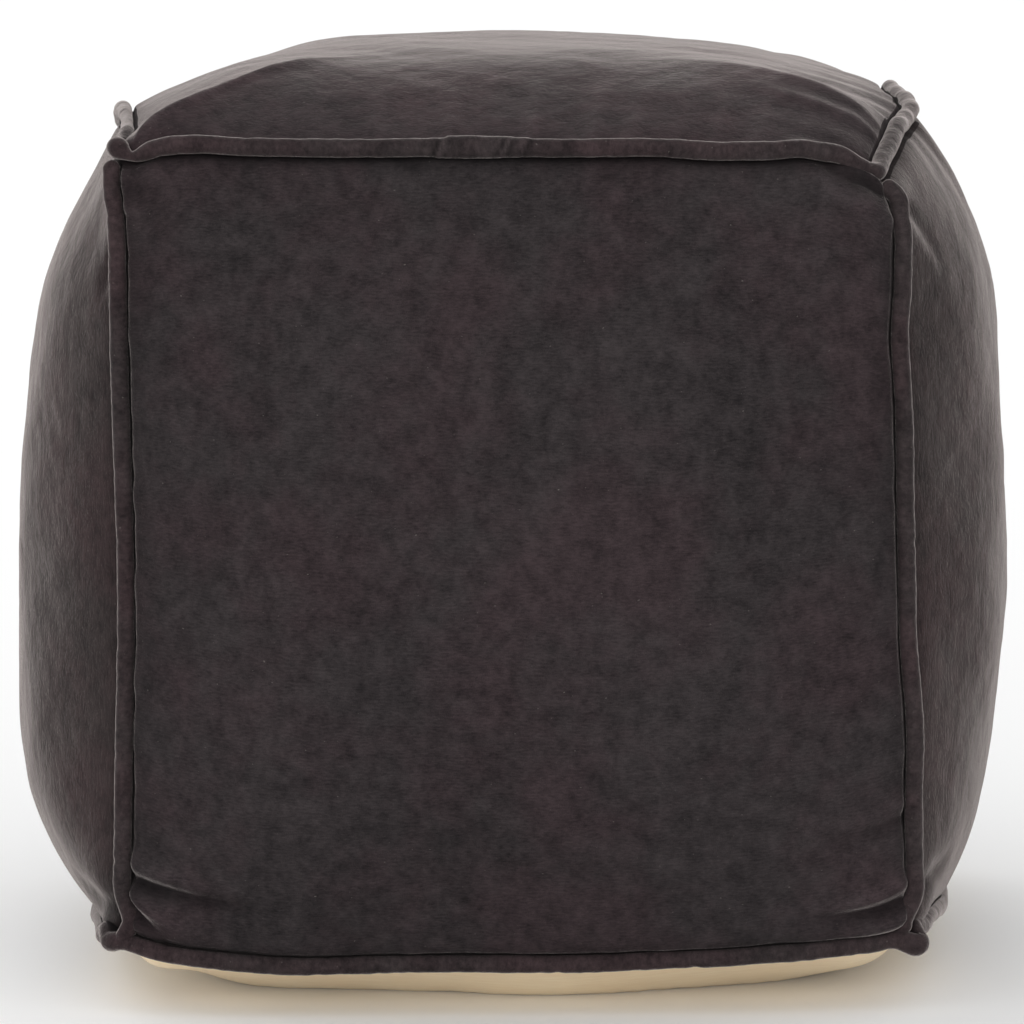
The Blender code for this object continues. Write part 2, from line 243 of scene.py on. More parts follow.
            (1, 0): (0.0026, 0.0032, 0.35, 0.008, 1.3, 17, 0.014, 0.0007),
            (0, 1): (0.0026, 0.0032, 0.5, 0.006, 2.5, 15, 0.014, 0.0006),
            (0, -1): (0.0026, 0.0032, 0.2, 0.005, 1.5, 17, 0.014, 0.0007),
        },
        "base": {edge: (0, 0.002, 0, 0.005, 1.5, 12, 0.016, 0.0007)
                 for edge in ((0, -1), (0, 1), (-1, 0), (1, 0))},
    },
    # how much chance plays with each pucker
    "puckerPlay": {"place": (0.15, 0.85), "height": (-1, 1), "reach": (0.5, 1.5),
                   "width": (0.25, 0.55), "lean": (-0.6, 0.6)},
    "puckerSpan": 1.8,  # how much of an edge, from -1 to 1, has puckers
    "puckerStart": 0.003,  # metres from the seam over which they rise
}


def unit(vectors):
    return vectors / np.linalg.norm(vectors, axis=-1, keepdims=True)


# exp(-(distance/width)^power): 1 in the middle, fading to 0.
def hill(distance, width, power=2):
    return np.exp(-(distance / width) ** power)


# A line between two corners, plus a bow 1 - |t|^fullness.
def seamBow(direction, along):
    direction = tuple(int(round(part)) for part in direction)
    axis = direction.index(0)
    start, end = (np.array(pouf["corners"][direction[:axis] + (side,) + direction[axis + 1:]])
                  for side in (-1, 1))
    t = np.asarray(along, dtype=float)[..., None]
    *bow, fullness = pouf["seams"][direction]
    return start + (end - start) * (t + 1) / 2 + bow * (1 - np.abs(t) ** fullness)


# The seam's kinks: hills along it that die away at the corners.
def seamKinks(direction, along):
    direction = tuple(int(round(part)) for part in direction)
    t = np.asarray(along, dtype=float)[..., None]
    total = np.zeros(t.shape[:-1] + (3,))
    for at, width, *shift in pouf["kinks"].get(direction, ()):
        total = total + shift * hill(t - at, width) * (1 - t ** 20)
    return total


def seamLine(direction, along):
    return seamBow(direction, along) + seamKinks(direction, along)


# Each fold is height * exp(-(distance/width)^sharpness) round a bent line from a seam into the
# panel, and fades by 1 - place^2 along it.
def foldHeight(name, across, up, narrow):
    total = np.zeros_like(across)
    for fromX, fromY, toX, toY, bend, width, sharpness, height in pouf["folds"].get(name, ()):
        if narrow == (width < pouf["narrow"]):
            runX, runY = toX - fromX, toY - fromY
            length = math.hypot(runX, runY)
            x, y = across - fromX, up - fromY
            place = np.clip((x * runX + y * runY) / length ** 2, 0, 1)
            bent = bend * 4 * place * (1 - place)
            distance = np.hypot(x - place * runX + bent * runY / length,
                                y - place * runY - bent * runX / length)
            total += height * hill(distance, width, sharpness) * (1 - place ** 2)
    return total * (1 - np.abs(across) ** 40) * (1 - np.abs(up) ** 40)


# A panel is the smooth sheet between its four bowed seams (a Coons patch), plus the seams' kinks
# fading by (share of the way)^kinkFade, raised by swelling * (1 - |across|^p)(1 - |up|^q), its
# broad bulges and its broad folds.
def panelShape(name, plain, less=0.0):
    right, rise, swelling, fullAcross, fullUp, sunk = pouf["panels"][name]
    right, rise = np.array(right), np.array(rise)
    out = np.cross(right, rise)
    across, up = plain @ right, plain @ rise
    a, b = (across[..., None] + 1) / 2, (up[..., None] + 1) / 2
    low, high = (seamBow(out + side * rise, across * right.sum()) for side in (-1, 1))
    start, end = (seamBow(out + side * right, up * rise.sum()) for side in (-1, 1))
    flat = (1 - b) * low + b * high + (1 - a) * start + a * end
    for side, share, shareUp in ((-1, 1 - a, 1 - b), (1, a, b)):
        aside = seamKinks(out + side * right, up * rise.sum())
        above = seamKinks(out + side * rise, across * right.sum())
        flat = flat + share ** pouf["kinkFade"] * aside
        flat = flat + shareUp ** pouf["kinkFade"] * above
    for side, share in ((-1, 1 - a), (1, a)):
        for level, part in ((-1, 1 - b), (1, b)):
            corner = tuple(int(n) for n in out + side * right + level * rise)
            flat = flat - share * part * np.array(pouf["corners"][corner])
    lowered = up + sunk * (1 - up ** 2)
    profile = (1 - np.abs(across) ** fullAcross) * (1 - np.abs(lowered) ** fullUp)
    height = (swelling - less) * profile + foldHeight(name, across, up, False)
    fade = pouf["bulgeFade"][name == "base"]
    for x, y, wide, tall, raised in pouf["bulges"].get(name, ()):
        bell = np.exp(-((across - x) / wide) ** 2 - ((up - y) / tall) ** 2)
        height = height + raised * bell * (1 - across ** fade) * (1 - up ** fade)
    return flat + height[..., None] * out


# Points of one face of the plain cube: rows run up, columns run across.
def plainGrid(name, places):
    right, rise = (np.array(way) for way in pouf["panels"][name][:2])
    up, across = np.meshgrid(places, places, indexing="ij")
    return across[..., None] * right + up[..., None] * rise + np.cross(right, rise)


# Away from the cube: straight out of a face, the mitre on a seam, the diagonal at a corner.
def awayFrom(plain):
    return unit(np.sign(plain) * np.abs(plain) ** pouf["mitrePower"])


def gridNormals(grid):
    up, across = np.gradient(grid, axis=(0, 1))
    return unit(np.cross(across, up))


# Catmull-Rom weights: reads a smooth line through even samples from -1 to 1 at other places.
def smoothWeights(count, places):
    position = (places + 1) / 2 * (count - 1)
    first = np.clip(np.floor(position).astype(int), 0, count - 2)
    t = position - first
    weights = np.stack((-t + 2 * t ** 2 - t ** 3, 2 - 5 * t ** 2 + 3 * t ** 3,
                        t + 4 * t ** 2 - 3 * t ** 3, -t ** 2 + t ** 3)) / 2
    table = np.zeros((len(places), count))
    for shift, weight in zip((-1, 0, 1, 2), weights):
        np.add.at(table, (np.arange(len(places)), np.clip(first + shift, 0, count - 1)), weight)
    return table


# Points that lie together on the plain cube are one vertex: gives the first point of each, and
# each face's grid of vertex numbers.
def weld(plain):
    count = plain.shape[1]
    keys = np.round(plain.reshape(-1, 3) * 1e5).astype(np.int64)
    _, first, back = np.unique(keys, axis=0, return_index=True, return_inverse=True)
    return first, back.reshape(-1, count, count)


# Quads over a grid of vertex numbers, facing right x up.
def gridFaces(numbers):
    return np.stack((numbers[:-1, :-1], numbers[:-1, 1:], numbers[1:, 1:], numbers[1:, :-1]),
                    axis=-1).reshape(-1, 4)


def addObject(name, data):
    obj = bpy.data.objects.new(name, data)
    scene.collection.objects.link(obj)
    return obj


# How far the colour is darkened at each vertex by painted shade (lightened by painted light
# where below 0), read by the velvet.
def writeShade(mesh, shade):
    layer = mesh.attributes.new("shade", "FLOAT", "POINT")
    layer.data.foreach_set("value", shade.ravel().astype(np.float32))


# Numbers of the faces' materials: flanks for the first faces, others for the rest.
def writeFlanks(mesh, flanks, others):
    numbers = np.full(len(mesh.polygons), others, dtype=np.int32)
    numbers[:len(flanks)] = flanks
    mesh.polygons.foreach_set("material_index", numbers)


# Makes a mesh of quads with smooth faces; uvs holds one row for each vertex.
def makeMesh(name, points, faces, uvs=None):
    mesh = bpy.data.meshes.new(name)
    mesh.vertices.add(len(points))
    mesh.vertices.foreach_set("co", np.ascontiguousarray(points, dtype=np.float32).ravel())
    mesh.loops.add(faces.size)
    mesh.loops.foreach_set("vertex_index", faces.astype(np.int32).ravel())
    mesh.polygons.add(len(faces))
    mesh.polygons.foreach_set("loop_start", np.arange(0, faces.size, 4, dtype=np.int32))
    mesh.update(calc_edges=True)
    mesh.validate()
    mesh.shade_smooth()
    if uvs is not None:
        layer = mesh.uv_layers.new(name="cloth")
        layer.data.foreach_set("uv", uvs[faces.ravel()].astype(np.float32).ravel())
    return addObject(name, mesh)


# The stuffing: a cloth simulation of the whole closed cube, seams held by their piping,
# pressed out from inside, with the cloth cut a little larger than its frame of seams.
stuffing = {
    "cells": 60,
    "pressure": 4.0,
    "ease": 0.010,  # how much larger the cloth is than its frame
    "frames": 20,
    "quality": 6,  # the solver's steps a frame
    "less": 0.0040,  # how much less the panels swell before the stuffing presses
    "most": 0.0085,  # the furthest a point may move
    "calm": 8,  # smoothings of the settled cloth
    "raw": 0.25,  # share of its fine wrinkles that stays
    "hold": 0.035,  # metres from a seam over which the piping holds the cloth back
    "stiffness": 12.0,
    "bending": 0.08,
}


def settleStuffing():
    count = stuffing["cells"] + 1
    places = np.linspace(-1, 1, count)
    plain = np.array([plainGrid(name, places) for name in pouf["panels"]])
    shape = np.array([panelShape(name, grid, stuffing["less"])
                      for name, grid in zip(pouf["panels"], plain)])
    first, numbers = weld(plain)
    faces = np.concatenate([gridFaces(grid) for grid in numbers])
    start = shape.reshape(-1, 3)[first]
    obj = makeMesh("settling", start, faces)

    onSeam = (np.abs(plain.reshape(-1, 3)[first]) > 1 - 1e-4).sum(axis=1) > 1
    held = obj.vertex_groups.new(name="seams")
    held.add(np.flatnonzero(onSeam).tolist(), 1.0, "REPLACE")
    cloth = obj.modifiers.new("stuffing", "CLOTH").settings
    cloth.quality = stuffing["quality"]
    cloth.vertex_group_mass = "seams"
    cloth.use_pressure = True
    cloth.uniform_pressure_force = stuffing["pressure"]
    cloth.effector_weights.gravity = 0
    cloth.shrink_min = -stuffing["ease"]
    cloth.tension_stiffness = cloth.compression_stiffness = stuffing["stiffness"]
    cloth.bending_stiffness = stuffing["bending"]
    for step in range(1, stuffing["frames"] + 1):
        scene.frame_set(step)
    settled = obj.evaluated_get(bpy.context.evaluated_depsgraph_get()).data
    end = np.empty(len(start) * 3, dtype=np.float32)
    settled.vertices.foreach_get("co", end)
    moved = end.reshape(-1, 3) - start
    length = np.linalg.norm(moved, axis=1, keepdims=True)
    print("stuffing: moved up to %.1f mm, mean %.1f mm"
          % (length.max() * 1e3, length.mean() * 1e3))
    moved *= np.minimum(1, stuffing["most"] / np.maximum(length, 1e-9))
    scene.frame_set(1)
    bpy.data.objects.remove(obj, do_unlink=True)
    moved = moved[numbers]
    calm = moved.copy()
    for _ in range(stuffing["calm"]):
        for axis in (1, 2):
            inner = [slice(None)] * 4
            before, after = inner.copy(), inner.copy()
            inner[axis], before[axis], after[axis] = slice(1, -1), slice(None, -2), slice(2, None)
            inner, before, after = tuple(inner), tuple(before), tuple(after)
            calm[inner] = (calm[before] + 2 * calm[inner] + calm[after]) / 4
    up, across = np.meshgrid(places, places, indexing="ij")
    depth = distanceToSeam(across, up)
    calm += (moved - calm) * stuffing["raw"]
    calm *= (1 - hill(depth, stuffing["hold"]))[None, ..., None]
    return dict(zip(pouf["panels"], calm))


# Rows of hills beside the edges of a panel, at uneven places and of uneven height, each fading
# inwards by exp(-depth/reach).
def puckerHeight(name, across, up):
    total = np.zeros_like(across)
    dice = np.random.default_rng(len(name) * 7 + 3)
    play, span = pouf["puckerPlay"], pouf["puckerSpan"]
    for edge, (*_, count, reach, height) in pouf["edges"][name].items():
        along, depth = up if edge[0] else across, distanceToEdge(across, up, edge)
        places = (np.arange(count) + dice.uniform(*play["place"], count)) / count * span - span / 2
        heights = height * dice.uniform(*play["height"], count)
        reaches = reach * dice.uniform(*play["reach"], count)
        widths = dice.uniform(*play["width"], count) * span / count
        lean = dice.uniform(*play["lean"], count)
        for place, tall, far, wide in zip(places, heights, reaches, widths):
            bell = hill(along - place - lean[0] * depth, wide)
            rise = 1 - np.exp(-depth / pouf["puckerStart"])
            total += tall * bell * np.exp(-depth / far) * rise
    return total


# Sum of plane waves at uneven angles, of about the given wavelength: the stuffing's lumps.
def lumpHeight(points, wavelength, seed):
    dice = np.random.default_rng(seed)
    ways = unit(dice.normal(size=(9, 3))) * 2 * math.pi / wavelength
    ways *= dice.uniform(0.7, 1.4, (9, 1))
    return np.sin(points @ ways.T + dice.uniform(0, 6.28, 9)).sum(axis=-1) / 3


# Puffed edges beside the pipings: height * exp(-(d/reach)^2) * (1 - exp(-(d/steep)^3)) from each
# edge, dying away at the edge's ends.
def shoulderHeight(name, across, up):
    total = np.zeros_like(across)
    for edge, (height, steep, *_) in pouf["edges"][name].items():
        depth = distanceToEdge(across, up, edge)
        aside = (1 - np.abs(up if edge[0] else across)) * pouf["side"] / 2
        total += (height * hill(depth, pouf["shoulderReach"]) * (1 - hill(depth, steep, 3))
                  * (1 - hill(aside, pouf["shoulderEnd"])))
    return total


# Metres from the nearest seam of a panel, and from the seam at one of its edges.
def distanceToSeam(across, up):
    return (1 - np.maximum(np.abs(across), np.abs(up))) * pouf["side"] / 2


def distanceToEdge(across, up, edge):
    return (1 - across * edge[0] - up * edge[1]) * pouf["side"] / 2


# The outer face of every panel, with its normals: the settled shape plus what is too fine for
# the simulation, which dies away at the seams.
def makeOuterFaces():
    even = np.linspace(-1, 1, pouf["cells"] + 1)
    places = even + pouf["crowding"] * (np.sin(even * math.pi / 2) - even)
    settled = settleStuffing()
    weights = smoothWeights(stuffing["cells"] + 1, places)
    faces = {}
    for number, name in enumerate(pouf["panels"]):
        plain = plainGrid(name, places)
        shape = panelShape(name, plain, stuffing["less"] if settled else 0.0)
        if settled:
            shape = shape + np.einsum("ui,ijk,vj->uvk", weights, settled[name], weights)
        up, across = np.meshgrid(places, places, indexing="ij")
        depth = distanceToSeam(across, up)
        detail = (shoulderHeight(name, across, up) + puckerHeight(name, across, up)
                  + foldHeight(name, across, up, True))
        lumps = sum(share * lumpHeight(shape, wavelength, number + seed)
                    for wavelength, share, seed in pouf["lumpWaves"])
        detail += pouf["lumps"] * lumps * (1 - hill(depth, pouf["lumpFade"]))
        if name == "base":
            detail *= pouf["tautBase"]
        edge = np.maximum(np.abs(across), np.abs(up))[..., None] ** 60
        normals = unit(gridNormals(shape) * (1 - edge) + awayFrom(plain) * edge)
        detail[depth < 1e-6] = 0
        faces[name] = {"plain": plain, "broad": shape, "detail": detail, "normals": normals,
                       "shape": shape + detail[..., None] * normals,
                       "across": across, "up": up, "depth": depth}
    return faces


# The painted shade and light, as the share of colour lost: beside the seams, standing in for the
# shade in the grooves by the piping, share * exp(-(depth/reach)^sharpness) for each edge; in a
# fold, painted shade by its depth's share, and painted highlight where it rises.
def seamShade(name, across, up):
    total = np.zeros_like(across)
    for edge, (_, _, share, reach, sharpness, *_) in pouf["edges"][name].items():
        depth = distanceToEdge(across, up, edge)
        total = np.maximum(total, share * hill(depth, reach, sharpness))
    deep, most, least = pouf["foldShade"]
    folded = np.clip(-foldHeight(name, across, up, True) / deep * most, least, most)
    return 1 - (1 - total) * (1 - folded)


# Flat cloth coordinates in metres: distance along the middle row and column.
def clothUvs(shape):
    middle = shape.shape[0] // 2
    spans = [np.linalg.norm(np.diff(line, axis=0), axis=1)
             for line in (shape[middle], shape[:, middle])]
    u, v = (np.concatenate(([0], np.cumsum(span))) for span in spans)
    across, up = np.meshgrid(u, v)
    return np.stack((across, up), axis=-1).reshape(-1, 2), (u[-1], v[-1])


# The stuffed cube: all six faces drawn in under the velvet and its folds, one closed mesh; its
# base is bare canvas, taken in only near its edge, and lies flat on the floor.
def makeStuffedCube(faces):
    plain, shape = [], []
    for name, face in faces.items():
        depth, detail = face["depth"], face["detail"]
        deeper = pouf["deeper"] * (1 - hill(depth, pouf["insetFade"]))
        inset = pouf["velvet"] + pouf["underVelvet"] + deeper
        if name == "base":
            inset = inset * np.maximum(np.abs(face["across"]), np.abs(face["up"])) ** 10
        else:
            padded = np.pad(detail, 2, mode="edge")
            windows = np.lib.stride_tricks.sliding_window_view(padded, (5, 5))
            detail = np.where(depth < 1e-6, 0, windows.min(axis=(2, 3)))
        drawnIn = face["broad"] + (detail - inset)[..., None] * face["normals"]
        plain.append(face["plain"][::2, ::2])
        shape.append(drawnIn[::2, ::2])
    first, numbers = weld(np.array(plain))
    points = np.array(shape).reshape(-1, 3)[first]
    points[:, 2] = np.maximum(points[:, 2], 0)
    quads = np.concatenate([gridFaces(grid) for grid in numbers])
    return makeMesh("stuffed_cube", points, quads, points[:, :2])


# A velvet panel: its outer face, an inner face one thickness further in, and the cut edge. Close
# to its seams and on the cut edge it wears the second material, a shaded copy with hardly any
# sheen: painted shade for the groove by the piping.
def makeVelvetPanel(name, face):
    shape, normals = face["shape"].copy(), face["normals"]
    right, rise = (np.array(way) for way in pouf["panels"][name][:2])
    for places, way in ((face["across"], right), (face["up"], rise)):
        atSeam = np.where(np.abs(places) > 1 - 1e-6, -np.sign(places), 0)
        shape += atSeam[..., None] * way * pouf["seamGap"]
    inner = shape - normals * pouf["velvet"]
    count = shape.shape[0]
    numbers = np.arange(count * count).reshape(count, count)
    under = numbers + count * count
    border = np.concatenate((numbers[0, :-1], numbers[:-1, -1],
                             numbers[-1, :0:-1], numbers[:0:-1, 0]))
    after = np.roll(border, -1)
    rim = np.stack((border, border + count * count, after + count * count, after), axis=1)
    quads = np.concatenate((gridFaces(numbers), gridFaces(under)[:, ::-1], rim))
    uvs, flat = clothUvs(face["shape"])
    points = np.concatenate((shape.reshape(-1, 3), inner.reshape(-1, 3)))
    panel = makeMesh("velvet_" + name, points, quads, np.concatenate((uvs, uvs)))
    shade = seamShade(name, face["across"], face["up"])
    writeShade(panel.data, np.concatenate((shade, shade)))
    depth = face["depth"]
    depth = (depth[:-1, :-1] + depth[:-1, 1:] + depth[1:, 1:] + depth[1:, :-1]).ravel() / 4
    writeFlanks(panel.data, np.tile(depth < pouf["seamFlank"], 2), 1)
    return panel, flat


# Pipings: a round velvet strip on each seam.
piping = {
    "radius": 0.0041,
    "around": 28,
    "step": 0.0014,  # metres between the rings of the tube
    "standOff": 0.0040,  # centre of the tube from the seam
    "wobble": 0.035,  # unevenness of the radius
    "wobbleWaves": (0.12, 0.055, 0.031),  # its wavelengths
    "dents": 0.005,  # and of its surface
    "dentWaves": (250, 1100, -2, 4),  # radians a metre, turns round the tube
    # creases: metres between them, slant, width, depth, middle and reach (radians round the tube)
    "creases": (0.020, (-0.0016, 0.0016), (0.0012, 0.0030), (0.02, 0.08), (-1.8, 1.8), (0.6, 1.6)),
    "flange": (0.18, 0.50),  # how far the strip's flat edge reaches in to the seam, and its width
    "groove": (0.15, 0.50),  # -cos of the angle where painted shade starts, how much on it is full
    # most painted shade in the groove of each piping
    "grooveShade": {"top": 0.55, "base": 0.80, "upright": 0.90},
    # moves of each ring's centres: place (0 front left, 1 front right, 2 back right, 3 back left),
    # half width, x, y, z, swelling
    "ringMoves": {
        "top": (
            (3.995, 0.018, 0.0026, 0, 0.0026, 0.22), (0.022, 0.014, 0, 0.001, -0.001, -0.5),
            (3.945, 0.024, 0.0022, 0, 0, -0.16), (3.8, 0.12, 0, 0, 0, -0.34),
            (2, 0.03, 0.001, 0.001, 0.002, 0.12), (3, 0.03, -0.001, 0.001, 0.002, 0.1),
        ),
        "base": (
            (3.988, 0.014, -0.003, 0, -0.0042, 0.05), (3.968, 0.026, 0.0018, 0, 0.0042, 0.16),
            (1.003, 0.012, 0.0058, -0.0016, -0.0076, 0.26), (1.03, 0.028, -0.002, 0, 0.0034, 0.16),
            (2, 0.045, 0.0004, 0.0002, 0.0022, 0.18), (3, 0.045, -0.0004, 0.0002, 0.0022, 0.18),
        ),
    },
    # the same for each upright; its places run from -1, the base, to 1, the top
    "uprightMoves": {
        (1, -1): ((-0.97, 0.06, -0.0035, 0, 0, 0.1),),
        (-1, -1): ((-0.98, 0.05, 0.004, -0.0016, -0.0006, -0.04),),
    },
    "reach": 0.010,  # how far an upright's line is drawn past its corners
    # how far the tube stops from the end of that line, at the base and at the top
    "tuck": {(-1, -1): (0.0056, 0.0095), (1, -1): (0.0062, 0.0120),
             (-1, 1): (0.0090, 0.0110), (1, 1): (0.0090, 0.0110)},
    # the top ring's lapped ends: middle, half length, thicker by
    "laps": ((-0.0077, 0.0143, 0.20), (0.0102, 0.0040, 0.11)),
    "slant": 0.00155,  # slant of the ends, metres a radian
    "lapEdge": 0.0006,  # how soft the step at their ends is
    # painted shadow line outside the step and painted highlight line inside it: shade,
    # distance, half width
    "lapLightAndShade": ((0.6, 0.0016, 0.0013), (-0.6, -0.0010, 0.0011)),
    "samples": (140, 300),  # points along a side of a ring, and along an upright
    "calm": (6, 5),  # smoothings of a ring's outward direction, and of its line
}


# A tube: centre + radius * (cos * out + sin * side) at even angles, side = tangent x out.
# A closed path joins its last ring to its first; an open one ends in two small flat caps.
# Its painted shade in the groove beside the seam is share * (-cos - start) / width, kept between
# 0 and 1, and the middle of the groove wears the second material, with hardly any sheen, as more
# painted shade.
def makeTube(name, centres, out, radii, closed, share, marks=0.0):
    rings, around = radii.shape
    if closed:
        tangent = unit(np.roll(centres, -1, axis=0) - np.roll(centres, 1, axis=0))
    else:
        tangent = unit(np.gradient(centres, axis=0))
    out = unit(out - (out * tangent).sum(axis=1, keepdims=True) * tangent)
    side = np.cross(tangent, out)
    angle = np.arange(around) / around * 2 * math.pi
    spokes = np.cos(angle)[:, None] * out[:, None] + np.sin(angle)[:, None] * side[:, None]
    points = centres[:, None] + radii[..., None] * spokes
    numbers = np.arange(rings * around).reshape(rings, around)
    wrapped = np.concatenate((numbers, numbers[:, :1]), axis=1)
    if closed:
        wrapped = np.concatenate((wrapped, wrapped[:1]), axis=0)
    quads = gridFaces(wrapped)
    steps = np.linalg.norm(np.diff(centres, axis=0, append=centres[:1]), axis=1)
    along = np.concatenate(([0], np.cumsum(steps)))
    girth = piping["radius"] * 2 * math.pi
    v, u = np.meshgrid(along, np.linspace(0, girth, around + 1), indexing="ij")
    corners = gridFaces(np.arange(u.size).reshape(u.shape)[:len(wrapped)]).ravel()
    uvs = np.stack((u, v), axis=-1).reshape(-1, 2)[corners]
    mesh = bpy.data.meshes.new(name)
    faces = quads.tolist()
    if not closed:
        faces += [numbers[0, ::-1].tolist(), numbers[-1].tolist()]
    mesh.from_pydata(points.reshape(-1, 3).tolist(), [], faces)
    mesh.shade_smooth()
    layer = mesh.uv_layers.new(name="cloth")
    table = np.zeros((len(mesh.loops), 2), dtype=np.float32)
    table[:len(uvs)] = uvs
    layer.data.foreach_set("uv", table.ravel())
    start, width = piping["groove"]
    shade = share * np.clip((-np.cos(angle) - start) / width, 0, 1)
    shade = 1 - (1 - shade) * (1 - marks * np.ones((rings, 1)))
    writeShade(mesh, shade)
    inGroove = np.cos(angle + math.pi / around) < -start - width / 2
    writeFlanks(mesh, np.tile(inGroove, len(quads) // around), 0)
    return addObject(name, mesh)


# Angles round a tube, from outward, between -pi and pi.
def tubeAngles():
    angle = np.arange(piping["around"]) / piping["around"] * 2 * math.pi
    return (angle + math.pi) % (2 * math.pi) - math.pi


# Even steps along a line, carrying other columns with it.
def evenSteps(line, extras, step, closed):
    if closed:
        line = np.concatenate((line, line[:1]))
        extras = [np.concatenate((extra, extra[:1])) for extra in extras]
    length = np.concatenate(([0], np.cumsum(np.linalg.norm(np.diff(line, axis=0), axis=1))))
    count = int(round(length[-1] / step))
    places = np.linspace(0, length[-1], count, endpoint=not closed)

    def read(column):
        return np.stack([np.interp(places, length, part) for part in column.T], axis=1)
    return read(line), [read(extra) for extra in extras], places, length[-1]


def rollSmooth(column, times):
    for _ in range(times):
        column = (np.roll(column, 1, axis=0) + 2 * column + np.roll(column, -1, axis=0)) / 4
    return column


# Moves a tube's centres by hills round its given places, and says how much fatter it is there.
def moveCentres(centres, moves, distances):
    swell = np.zeros(len(centres))
    for at, width, x, y, z, fatter in moves:
        bell = hill(distances(at), width)
        centres = centres + bell[:, None] * np.array((x, y, z))
        swell = swell + bell * fatter
    return centres, swell[:, None]


# Radius of a tube at each ring and angle: slow wobble along it, and short slanted creases
# -depth * exp(-((place - at - slant * angle)/width)^2) that reach part of the way round.
def tubeRadii(places, length, seed, swell):
    dice = np.random.default_rng(seed)
    angle = tubeAngles()
    turn = places * 2 * math.pi / length
    waves = sum(np.sin(turn * int(length / wave) + dice.uniform(0, 6.28)) * dice.uniform(0.4, 1)
                for wave in piping["wobbleWaves"])
    radii = (1 + piping["wobble"] * waves / 2 + swell)[:, None] * np.ones_like(angle)
    slow, quick, fewest, most = piping["dentWaves"]
    for _ in range(12):
        waveNumber, turns = dice.uniform(slow, quick), dice.integers(fewest, most)
        phase = waveNumber * places[:, None] + turns * angle + dice.uniform(0, 6.28)
        radii += piping["dents"] * np.sin(phase)
    apart, *ranges = piping["creases"]
    for _ in range(int(length / apart)):
        at = dice.uniform(0, length)
        slant, wide, deep, middle, reach = (dice.uniform(*limits) for limits in ranges)
        bell = hill(places[:, None] - at - slant * angle, wide)
        radii -= deep * bell * hill(angle - middle, reach)
    reach, width = piping["flange"]
    radii *= 1 + reach * hill(math.pi - np.abs(angle), width)
    return radii * piping["radius"]


def makeRing(name, level):
    t = np.linspace(-1, 1, piping["samples"][0], endpoint=False)
    line, plain, quarter = [], [], []
    sides = (((0, -1), 1), ((1, 0), 1), ((0, 1), -1), ((-1, 0), -1))
    for number, (side, turn) in enumerate(sides):
        direction = (side[0], side[1], level)
        along = t * turn
        way = np.array([1.0 if part == 0 else 0.0 for part in direction])
        line.append(seamLine(direction, along))
        plain.append(np.array(direction) + along[:, None] * way)
        quarter.append(number + (t + 1) / 2)
    line, plain, quarter = np.concatenate(line), np.concatenate(plain), np.concatenate(quarter)
    calmOut, calmLine = piping["calm"]
    out = rollSmooth(awayFrom(plain), calmOut)
    centres, swell = moveCentres(line + unit(out) * piping["standOff"],
                                 piping["ringMoves"][name],
                                 lambda at: (quarter - at + 2) % 4 - 2)
    centres, (out, swell), places, length = evenSteps(centres, (out, swell), piping["step"], True)
    centres = rollSmooth(centres, calmLine)
    radii = tubeRadii(places, length, 11 if level > 0 else 23, swell[:, 0])
    marks = 0.0
    if level > 0:
        swelling, marks = lapSwelling(centres)
        radii = radii * swelling
    share = piping["grooveShade"][name]
    return makeTube(name + "_ring", centres, unit(out), radii, True, share, marks)


# Where the strip's two ends are lapped it is thicker, with slanted ends: a soft step in x,
# leaned by the angle round the tube, with a painted shadow line outside it and a painted
# highlight line inside.
def lapSwelling(centres):
    total = np.ones((len(centres), piping["around"]))
    marks = np.zeros_like(total)
    front = centres[:, 1:2] < 0
    for middle, half, swell in piping["laps"]:
        reach = np.abs(centres[:, :1] - middle + piping["slant"] * tubeAngles()) - half
        total += swell * front / (1 + np.exp(np.clip(reach / piping["lapEdge"] * 3, -30, 30)))
        for shade, away, width in piping["lapLightAndShade"]:
            marks += front * shade * hill(reach - away, width)
    (most, _, _), (least, _, _) = piping["lapLightAndShade"]
    return total, np.clip(marks, least, most)


def makeUpright(side, depth):
    seam = (side, depth, 0)
    t = np.linspace(-1, 1, piping["samples"][1])
    line = seamLine(seam, t)
    past = unit(line[[0, -1]] - line[[12, -13]]) * piping["reach"]
    line = np.concatenate((line[:1] + past[:1], line, line[-1:] + past[1:]))
    t = np.concatenate(([-1.06], t, [1.06]))
    out = unit(np.array(seam, dtype=float))
    centres, swell = moveCentres(line + out * piping["standOff"],
                                 piping["uprightMoves"].get((side, depth), ()),
                                 lambda at: t - at)
    centres, (swell,), places, length = evenSteps(centres, (swell,), piping["step"] / 2, False)
    foot, head = piping["tuck"][side, depth]
    inside = (places > foot) & (places < length - head)
    centres, swell, places = centres[inside], swell[inside, 0], places[inside] - foot
    length = places[-1]
    radii = tubeRadii(places, length, 31 + side * 2 + depth, swell)
    fromEnd = np.minimum(places, length - places) / piping["radius"]
    radii *= np.sqrt(np.clip(1 - np.clip(1 - fromEnd, 0, 0.999) ** 2, 0, 1))[:, None]
    out = np.broadcast_to(out, centres.shape)
    name = f"upright_{'front' if depth < 0 else 'back'}_{'left' if side < 0 else 'right'}"
    return makeTube(name, centres, out, radii, False, piping["grooveShade"]["upright"])


# Materials. A value may be a number, a colour, or another node's output.
def addNode(tree, kind, options=None, **inputs):
    made = tree.nodes.new("ShaderNode" + kind)
    for key, value in (options or {}).items():
        setattr(made, key, value)
    for key, value in inputs.items():
        numbered = key[0] == "i" and key[1:].isdigit()
        socket = made.inputs[int(key[1:]) if numbered else key]
        if isinstance(value, bpy.types.NodeSocket):
            tree.links.new(value, socket)
        else:
            socket.default_value = value
    return made.outputs[0]


def addMath(tree, operation, first, second=0.0):
    return addNode(tree, "Math", {"operation": operation}, i0=first, i1=second)


